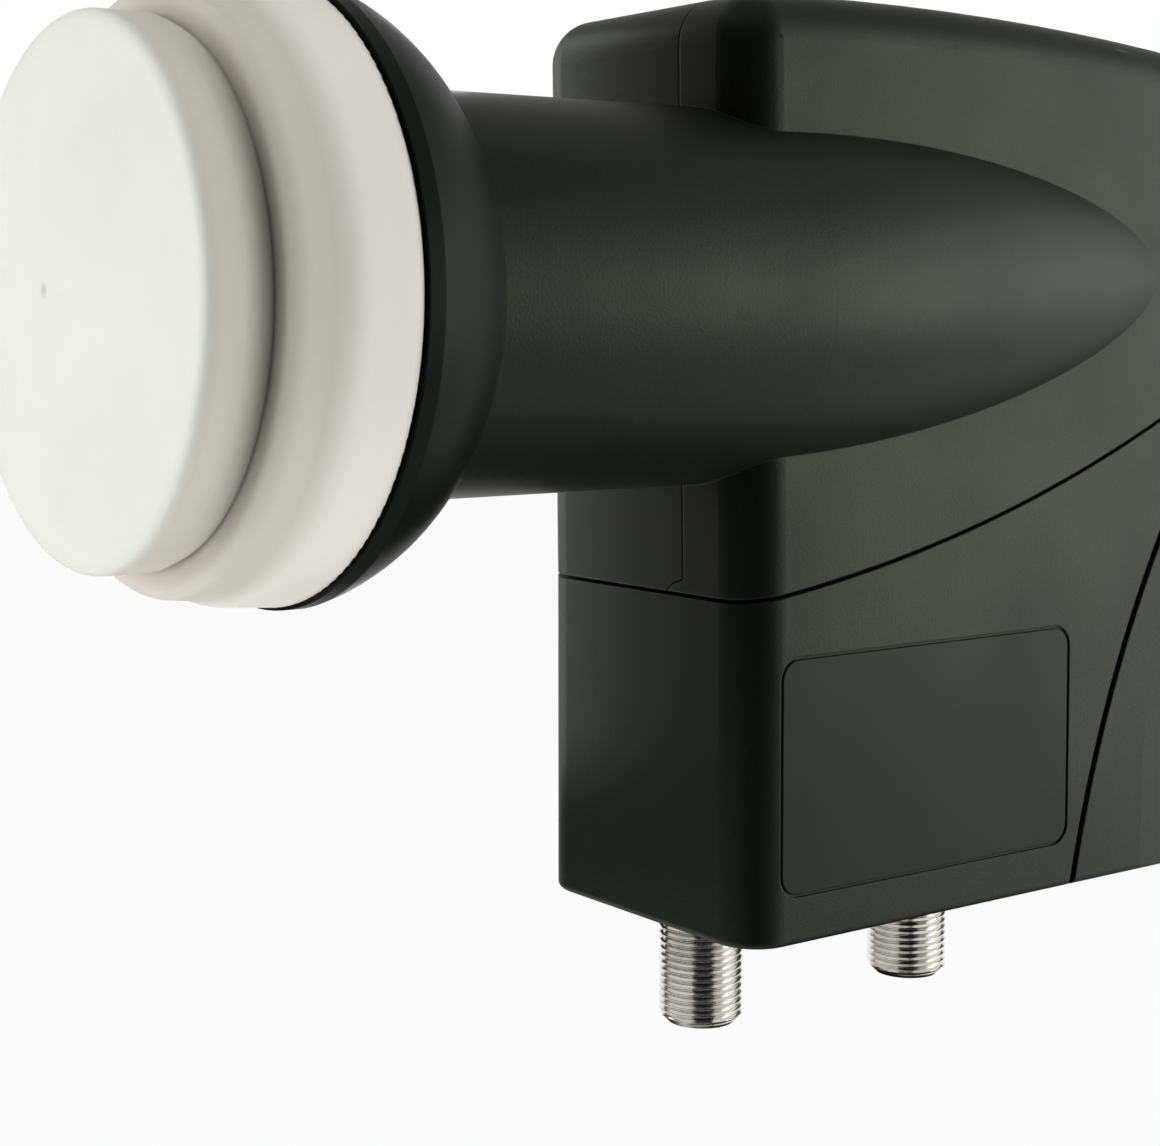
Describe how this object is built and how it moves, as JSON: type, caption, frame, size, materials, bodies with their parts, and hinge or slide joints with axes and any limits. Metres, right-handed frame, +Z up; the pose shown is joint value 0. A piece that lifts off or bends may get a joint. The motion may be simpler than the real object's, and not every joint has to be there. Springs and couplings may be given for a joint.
{
  "type": "satellite lnb",
  "caption": "Satellite dish LNB: white feed cap and dark bowl on a 40 mm clamp neck, deep anthracite housing with a bullet fairing, threaded outputs and a slide-down weather shield.",
  "frame": {"origin": "on the feed axis at the middle of the clamp neck", "axes": "-Y along the feed axis towards the dish, out of the white cap; +Z up, away from the outputs; +X to the side with the bullet fairing and the label recess"},
  "size_m": [0.0588, 0.1426, 0.1141],
  "materials": {
    "cap_white": "smooth weathered-white polymer, fine moulded grain",
    "anthracite": "fine spark-eroded grain, dark greenish grey",
    "shroud_black": "smooth satin near-black",
    "cast_alloy": "bare die casting",
    "nickel": "bright nickel plate on turned brass",
    "brass": "gold-flashed contact metal",
    "rubber": "soft black elastomer",
    "insulator": "white low-loss polymer",
    "board": "glass-filled laminate with green resist",
    "chip": "moulded black package",
    "steel": "zinc-plated steel"
  },
  "bodies": {
    "lnb_body": {"feed_cap": "cap_white", "cap_seal": "rubber", "horn_shroud": "shroud_black", "chassis": "cast_alloy", "septum_pin": "steel", "probe_straight": "brass", "probe_bent": "brass", "probe_sleeves": "insulator", "pcb": "board", "ic_chips": "chip", "crystal_can": "steel", "regulators": "chip", "capacitors": "steel", "cover_gasket": "rubber", "rf_cover": "cast_alloy", "cover_screws": "steel", "connector_bodies": "nickel", "connector_insulators": "insulator", "connector_contacts": "brass", "connector_seals": "rubber", "housing_near": "anthracite", "housing_far": "anthracite", "housing_screws": "steel"},
    "shield": {"weather_shield": "anthracite"}
  },
  "joints": [
    {"name": "shield_slide", "type": "slide", "parent": "lnb_body", "child": "shield", "axis": [0, 0, -1], "range_m": [0, 0.024]}
  ]
}
